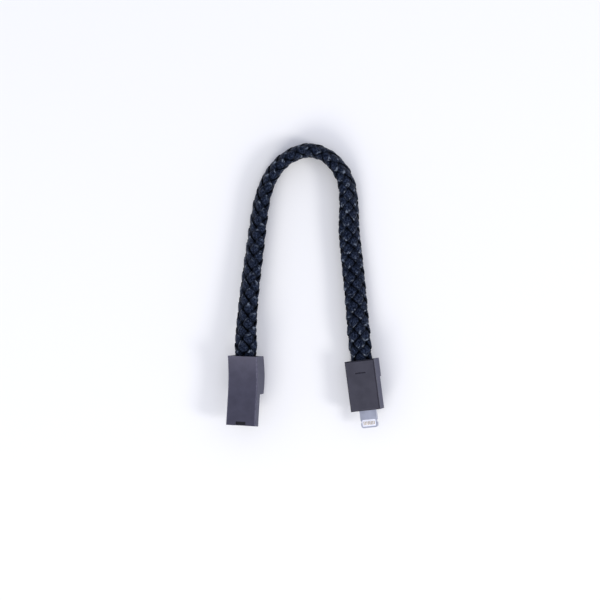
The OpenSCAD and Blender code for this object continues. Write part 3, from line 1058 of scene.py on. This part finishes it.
@dataclass
class BraidedBand:
    """The plait of eight leather strands and the lining that it is plaited on, in mm."""

    shop: Workshop
    width: float = 8.5
    thickness: float = 5.0
    strands: int = 8
    strand_w: float = 3.9
    strand_t: float = 0.66
    rise: float = 0.34
    snap: float = 2.4
    crown: float = 2.1
    corner: float = 0.8
    proud: float = 0.28
    loosen_over: float = 3.0
    tip_lift: float = 0.15
    shown_to: float = 0.8 * math.pi
    shown_span: float = 0.28 * math.pi
    floor_gap: float = 0.02
    step: float = 0.32
    sides: int = 12
    slope_window: float = 0.5
    strand_uv_gap: float = 40.0
    round_steps: int = 720
    winding_steps: int = 400
    lining_steps: int = 220
    lining_sides: int = 20
    lining_tile: float = 0.8
    path_every: int = 6
    lays: tuple[float, ...] = (25.0, 24.0, 22.6, 21.6, 20.2, 20.6, 22.0, 23.2, 23.6)
    start_shift: float = 8.0
    end_shift: float = 5.0
    tone: ScaleTone = ScaleTone()
    route: BandRoute = field(default_factory=BandRoute)

    def __post_init__(self) -> None:
        """Works out the section's even steps round and the strands' winding."""
        self.inset = self.rise + self.strand_t / 2
        self.wide = self.width / 2
        self.thin = self.thickness / 2
        turns = [math.tau * k / self.round_steps for k in range(self.round_steps + 1)]
        ring = [Vector((self.wide * math.cos(a), self.thin * math.sin(a))) for a in turns]
        self.round = [0.0]
        for a, b in zip(ring, ring[1:]):
            self.round.append(self.round[-1] + (b - a).length)
        self.girth = self.round[-1]
        self.winding = [0.0]
        for i in range(self.winding_steps):
            at = (i + 0.5) / self.winding_steps * (len(self.lays) - 1)
            low = int(at)
            lay = self.lays[low] + (self.lays[low + 1] - self.lays[low]) * (at - low)
            self.winding.append(self.winding[-1]
                                + math.tau * self.route.length / self.winding_steps / lay)

    def section(self, turn: float) -> tuple[Vector, Vector]:
        """Gives a point of the section's outline and its outward normal.

        Args:
            turn: the share of the way round, in radians of evenly spaced girth.

        Returns:
            The point and the normal, as (across, through) pairs.
        """
        low, part = located(self.round, turn / math.tau % 1.0 * self.girth)
        angle = math.tau * (low + part) / self.round_steps
        point = Vector((self.wide * math.cos(angle), self.thin * math.sin(angle)))
        normal = Vector((self.thin * math.cos(angle), self.wide * math.sin(angle))).normalized()
        return point, normal

    def wound(self, s: float) -> float:
        """Gives how far the strands have wound at a length, in radians.

        Args:
            s: the length, in mm.

        Returns:
            The angle.
        """
        last = len(self.winding) - 1
        at = clamped(s / self.route.length) * last
        low = min(int(at), last - 1)
        return self.winding[low] + (self.winding[low + 1] - self.winding[low]) * (at - low)

    def drift(self, s: float) -> float:
        """Gives how far the whole pattern has turned at a length, in radians.

        Args:
            s: the length, in mm.

        Returns:
            The angle.
        """
        share = eased(s / self.route.length)
        return math.radians(self.start_shift + (self.end_shift - self.start_shift) * share)

    def lift(self, turn: float, sense: Sense) -> float:
        """Gives how far a strand's middle rides out or in at a place round the band.

        Args:
            turn: the place, in radians.
            sense: the strand's way round.

        Returns:
            The rise, in mm.
        """
        wave = math.cos(self.strands / 2 * turn) * sense.value
        return self.rise * math.tanh(self.snap * wave) / math.tanh(self.snap)

    def reach(self, turn: float, sense: Sense, along: float,
              slope: float) -> tuple[float, float]:
        """Gives where a point lies in the scale that its strand shows there.

        Args:
            turn: the place round of the strand's middle, in radians.
            sense: the strand's way round.
            along: the point's distance along the band from the strand's middle, in mm.
            slope: how fast the strand winds, in radians per mm.

        Returns:
            The distance from the scale's middle towards its tip, in mm, and 1 on the
            scale, falling to 0 where the strand is under its neighbours.
        """
        phase = self.strands / 2 * turn * sense.value + (0.0 if sense is Sense.RIGHT else math.pi)
        phase = (phase + math.pi) % math.tau - math.pi
        near = phase / (self.strands / 2 * slope)
        return near + along, eased((self.shown_to - abs(phase)) / self.shown_span)

    def loosened(self, s: float) -> float:
        """Gives how far the plait stands proud where no housing grips it.

        Args:
            s: the length, in mm.

        Returns:
            The rise, in mm.
        """
        free = min(s, self.route.length - s) - self.route.inside
        return self.proud * eased(free / self.loosen_over)

    def strand_section(self) -> list[tuple[float, float]]:
        """Gives the strand's own section: crowned on top, thin at its edges.

        Returns:
            Points round the strand, as (across, out) pairs in mm.
        """
        points = []
        for k in range(self.sides):
            a = math.tau * k / self.sides
            c, s = math.cos(a), math.sin(a)
            across = self.strand_w / 2 * math.copysign(abs(c) ** self.corner, c)
            out = self.strand_t / 2 * math.copysign(abs(s) ** (2 / self.crown), s)
            points.append((across, out))
        return points

    def spread(self, s: float, turn: float, out: float) -> Vector:
        """Lays a point of the unrolled band round the real one.

        Args:
            s: the length along, in mm.
            turn: the place round, in radians.
            out: the height above the strands' middle layer, in mm.

        Returns:
            The point in the shared frame, in metres, pressed flat where it lies on the floor.
        """
        point, wide, thin = self.route.frame(s)
        on, normal = self.section(turn)
        on = on + normal * (out - self.inset)
        place = point + wide * on.x + thin * on.y
        place.z = max(place.z, self.floor_gap)
        return place * MM

    def strand_ring(self, bm: bmesh.types.BMesh, layers: tuple, sense: Sense, first: float,
                    s: float) -> list[bmesh.types.BMVert]:
        """Adds one ring of a strand's vertices, with their painted groove shade and painted
        glint.

        Args:
            bm: the mesh.
            layers: its layers for the painted groove shade and the painted glint.
            sense: the strand's way round.
            first: the strand's place round at the start, in radians.
            s: the length along the band, in mm.

        Returns:
            The ring.
        """
        low = max(s - self.slope_window, 0.0)
        high = min(s + self.slope_window, self.route.length)
        slope = (self.wound(high) - self.wound(low)) / (high - low)
        outer = self.girth + math.tau * self.loosened(s)
        angle = math.atan(slope * outer / math.tau)
        place = first + sense.value * self.wound(s)
        lift = self.lift(place, sense)
        ring = []
        for across, out in self.strand_section():
            around = across * math.cos(angle) / outer * math.tau
            back = -sense.value * across * math.sin(angle)
            reach, shown = self.reach(place, sense, back, slope)
            rise = self.tip_lift * reach * shown + self.loosened(s + back)
            vert = bm.verts.new(self.spread(s + back, place + self.drift(s) + around,
                                            lift + out + rise))
            edge = abs(across) / (self.strand_w / 2)
            # Painted shade in the grooves and a painted glint at the tips, kept on each vertex.
            vert[layers[0]] = self.tone.painted_groove_shade(reach, edge, 0.5 - 0.5 * lift / self.rise)
            vert[layers[1]] = self.tone.painted_glint_and_wax(reach)
            ring.append(vert)
        return ring

    def build_braid(self) -> bpy.types.Object:
        """Plaits the strands as one mesh, closed at their ends.

        Returns:
            The braid.
        """
        bm = bmesh.new()
        uv = bm.loops.layers.uv.new("strand")
        # Layers for the painted groove shade and the painted tip glint.
        layers = (bm.verts.layers.float.new("painted_groove_shade"), bm.verts.layers.float.new("painted_glint_and_wax"))
        steps = int(self.route.length / self.step)
        tile = (self.step, 2.0 * self.strand_w / self.sides)
        for number in range(self.strands):
            sense = Sense.RIGHT if number % 2 else Sense.LEFT
            first = sense.value * math.tau * (number // 2) / (self.strands / 2)
            rings = [self.strand_ring(bm, layers, sense, first, self.route.length * i / steps)
                     for i in range(steps + 1)]
            skin_tube(bm, uv, rings, tile, self.strand_uv_gap * number)
        return placed(bm, "leather_braid")

    def build_lining(self) -> bpy.types.Object:
        """Makes the dark lining under the strands, seen only in their gaps.

        Returns:
            The lining.
        """
        bm = bmesh.new()
        uv = bm.loops.layers.uv.new("strand")
        turns = [math.tau * k / self.lining_sides for k in range(self.lining_sides)]
        rings = []
        for i in range(self.lining_steps + 1):
            s = self.route.length * i / self.lining_steps
            rings.append([bm.verts.new(self.spread(s, turn, -self.rise)) for turn in turns])
        skin_tube(bm, uv, rings, (self.lining_tile, self.lining_tile))
        return placed(bm, "band_lining")

    def build(self) -> None:
        braid = self.build_braid()
        lining = self.build_lining()
        self.shop.paint(braid, BLACK_LEATHER)
        self.shop.paint(lining, CABLE_JACKET)
        self.shop.dress_node("data_cable", CABLE_JACKET)
        for piece, slot in ((braid, "black_leather"), (lining, "cable_jacket")):
            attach(piece, "root")
            self.shop.done.append(piece.name)
        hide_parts("leather_band")


# ---- Housings ----

# A piece that shows has its node, name, finish, slot and the width of its broken edges.
Shown = tuple[tuple[str, str, Finish, str, float], ...]
Hidden = tuple[tuple[str, Finish], ...]


@dataclass
class Housing:
    """A cast housing: its pieces that show are refined, and its inside is dressed."""

    shop: Workshop
    side: str
    shown: Shown
    hidden: Hidden

    def build(self) -> None:
        """Makes the pieces that show and dresses the rest."""
        for piece in self.shown:
            self.shop.refine(*piece)
        both = (("board", BOARD_GREEN), ("solder_joints", SOLDER_TIN), ("crimp", SOLDER_TIN),
                ("potting", CLEAR_GLUE))
        wires = tuple((f"wire_{name}", kind) for name, kind in WIRES.items())
        for ending, kind in both + self.hidden + wires:
            self.shop.dress_node(f"{self.side}_{ending}", kind)


@dataclass
class CurvedHousing(Housing):
    """The curved housing with the flat plug's tongue, in mm."""

    side: str = "usb"
    shown: Shown = (
        ("usb_housing", "curved_housing", GUNMETAL, "gunmetal", 0.12),
        ("usb_end_cap", "curved_housing_cap", DARK_CAP, "dark_cap", 0.1),
        ("usb_tongue", "flat_plug_tongue", BLACK_MOULDING, "black_moulding", 0.08),
        ("usb_contacts", "flat_plug_contacts", GOLD_PLATE, "gold_plate", 0.04),
    )
    hidden: Hidden = (("resistors", CHIP_BLACK),)


@dataclass
class TabHousing(Housing):
    """The flat housing with its cover plate and the reversible tab, in mm."""

    side: str = "tab"
    shown: Shown = (
        ("tab_housing", "flat_housing", GUNMETAL, "gunmetal", 0.12),
        ("tab_cover", "cover_plate", COVER_METAL_SHADED, "gunmetal", 0.06),
        ("tab_end_cap", "flat_housing_cap", DARK_CAP, "dark_cap", 0.1),
        ("tab_front_block", "tab_socket", BLACK_MOULDING, "black_moulding", 0.08),
        ("plug_frame", "tab_frame", PLUG_STEEL, "plug_steel", 0.12),
        ("plug_insulator", "tab_insulator", WHITE_MOULDING, "white_moulding", 0.04),
        ("plug_contacts_front", "tab_contacts_front", GOLD_PLATE, "gold_plate", 0.02),
        ("plug_contacts_back", "tab_contacts_back", GOLD_PLATE, "gold_plate", 0.02),
    )
    hidden: Hidden = (("chip", CHIP_BLACK), ("capacitors", CAPACITOR_TAN))
    top_skin: float = 0.02
    groove_from: float = 0.1
    plate_through: float = 0.6
    level_facing: float = 0.97

    def build(self) -> None:
        """Makes the pieces and paints shade on the cover's cut edges."""
        super().build()
        self.paint_shade_on_cut_edges(bpy.data.objects["cover_plate"])

    def paint_shade_on_cut_edges(self, plate: bpy.types.Object) -> None:
        """Paints the plate's chamfer and the floor of its plain groove in the dark finish, as
        painted shade.

        Args:
            plate: the cover plate.
        """
        # Painted shade: a second, near-black material on these faces.
        plate.data.materials.append(self.shop.finish(CHAMFER_PAINTED_SHADE))
        up = turned(Vector((0.0, 0.0, 1.0)), TAB_MOUTH.turn)
        for face in plate.data.polygons:
            depth = (TAB_MOUTH.at - face.center / MM).dot(up)
            facing = face.normal.dot(up)
            cut = facing < self.level_facing or depth > self.groove_from
            if self.top_skin < depth < self.plate_through and cut:
                face.material_index = 1


def main() -> None:
    """Builds the object in order and reports each piece."""
    logging.basicConfig(level=logging.INFO, format="%(name)s: %(message)s")
    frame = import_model()
    shop = Workshop(frame["nodes"], Effects())
    studio = Studio()
    studio.set_camera()
    for part in (BraidedBand(shop), CurvedHousing(shop), TabHousing(shop)):
        before = len(shop.done)
        part.build()
        log.info("%s: %s", type(part).__name__, ", ".join(shop.done[before:]))
    studio.lay_floor(shop)
    studio.light()
    clear_selection()


if __name__ == "__main__":
    main()
